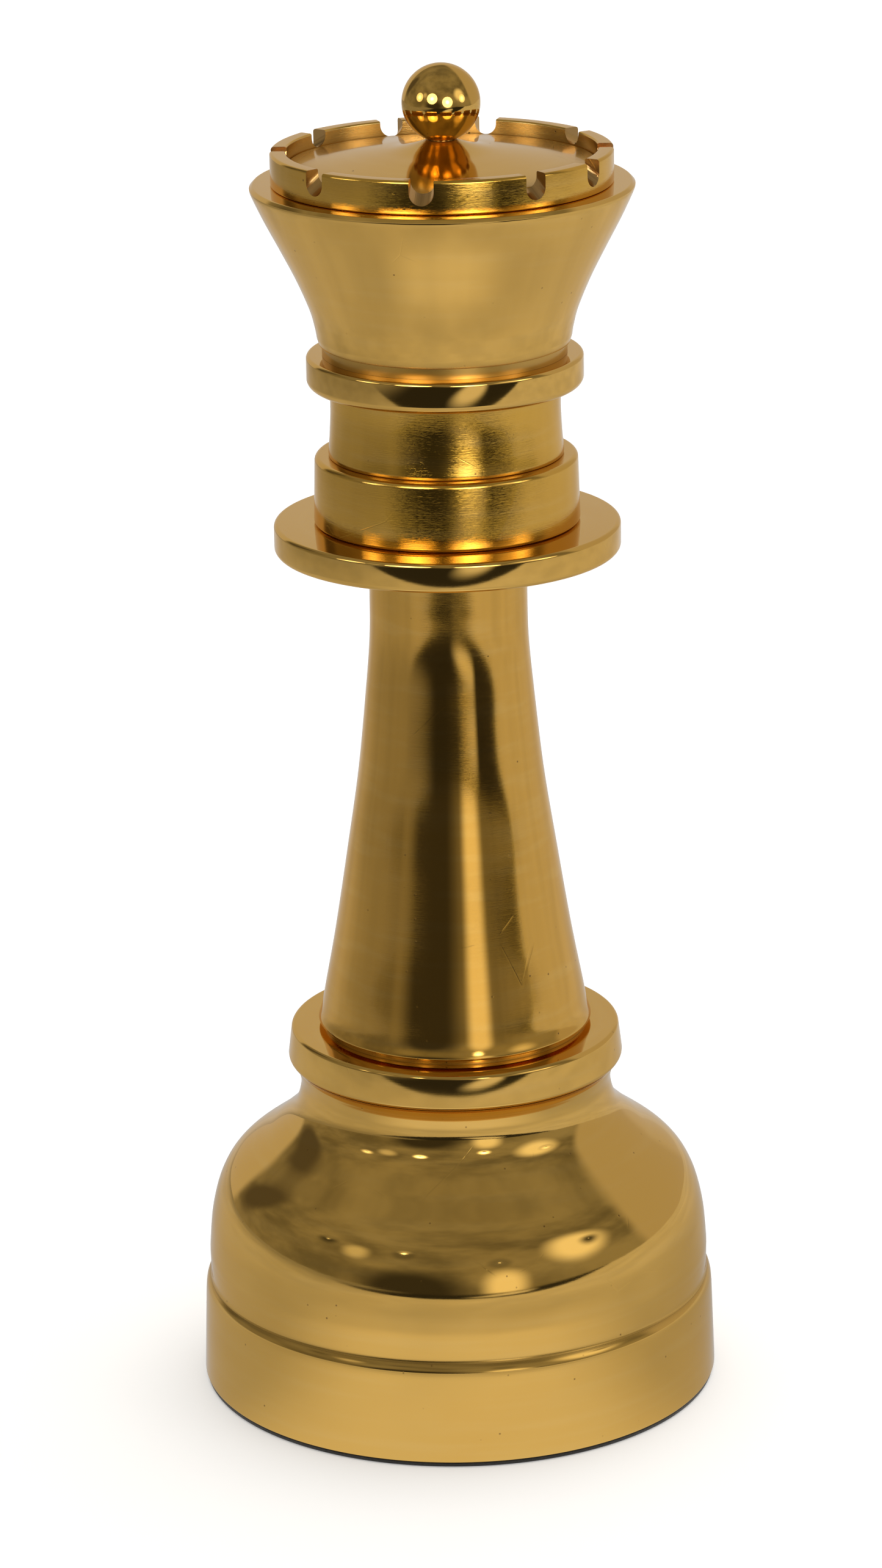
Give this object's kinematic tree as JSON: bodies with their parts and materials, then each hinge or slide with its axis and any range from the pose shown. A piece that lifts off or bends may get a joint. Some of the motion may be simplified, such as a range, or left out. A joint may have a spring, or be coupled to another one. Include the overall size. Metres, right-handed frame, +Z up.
{
  "type": "giant chess piece",
  "caption": "Giant polished brass chess queen: weighted plinth and domed foot, tapering stem, stepped collars, flared cup and a slotted crown with a ball finial.",
  "frame": {"origin": "centre of the felt pad's underside, on the surface the piece stands on", "axes": "+Z up along the turning axis towards the ball finial; -Y is the front, the side the main view looks at"},
  "size_m": [0.2336, 0.2336, 0.6],
  "materials": {
    "lacquered_brass": "polished and lacquered, with fine turning marks, small pits and a few scratches",
    "plated_steel": "zinc plated",
    "cast_iron": "as cast, machined faces",
    "felt": "black wool felt, glued on"
  },
  "bodies": {
    "root": {"felt_pad": "felt", "base_plate": "plated_steel", "base_screw_1": "plated_steel", "base_screw_2": "plated_steel", "base_screw_3": "plated_steel", "base_screw_4": "plated_steel", "ballast": "cast_iron", "tie_rod": "plated_steel", "base_washer": "plated_steel", "base_nut": "plated_steel", "clamp_washer": "plated_steel", "clamp_nut": "plated_steel", "plinth": "lacquered_brass", "base_dome": "lacquered_brass", "lower_collar": "lacquered_brass", "stem": "lacquered_brass", "flange_disc": "lacquered_brass", "stepped_drum": "lacquered_brass", "neck_sleeve": "lacquered_brass", "upper_ring": "lacquered_brass", "cup": "lacquered_brass", "crown_ring": "lacquered_brass", "lid": "lacquered_brass", "lid_bush": "lacquered_brass", "finial_ball": "lacquered_brass"}
  },
  "joints": []
}
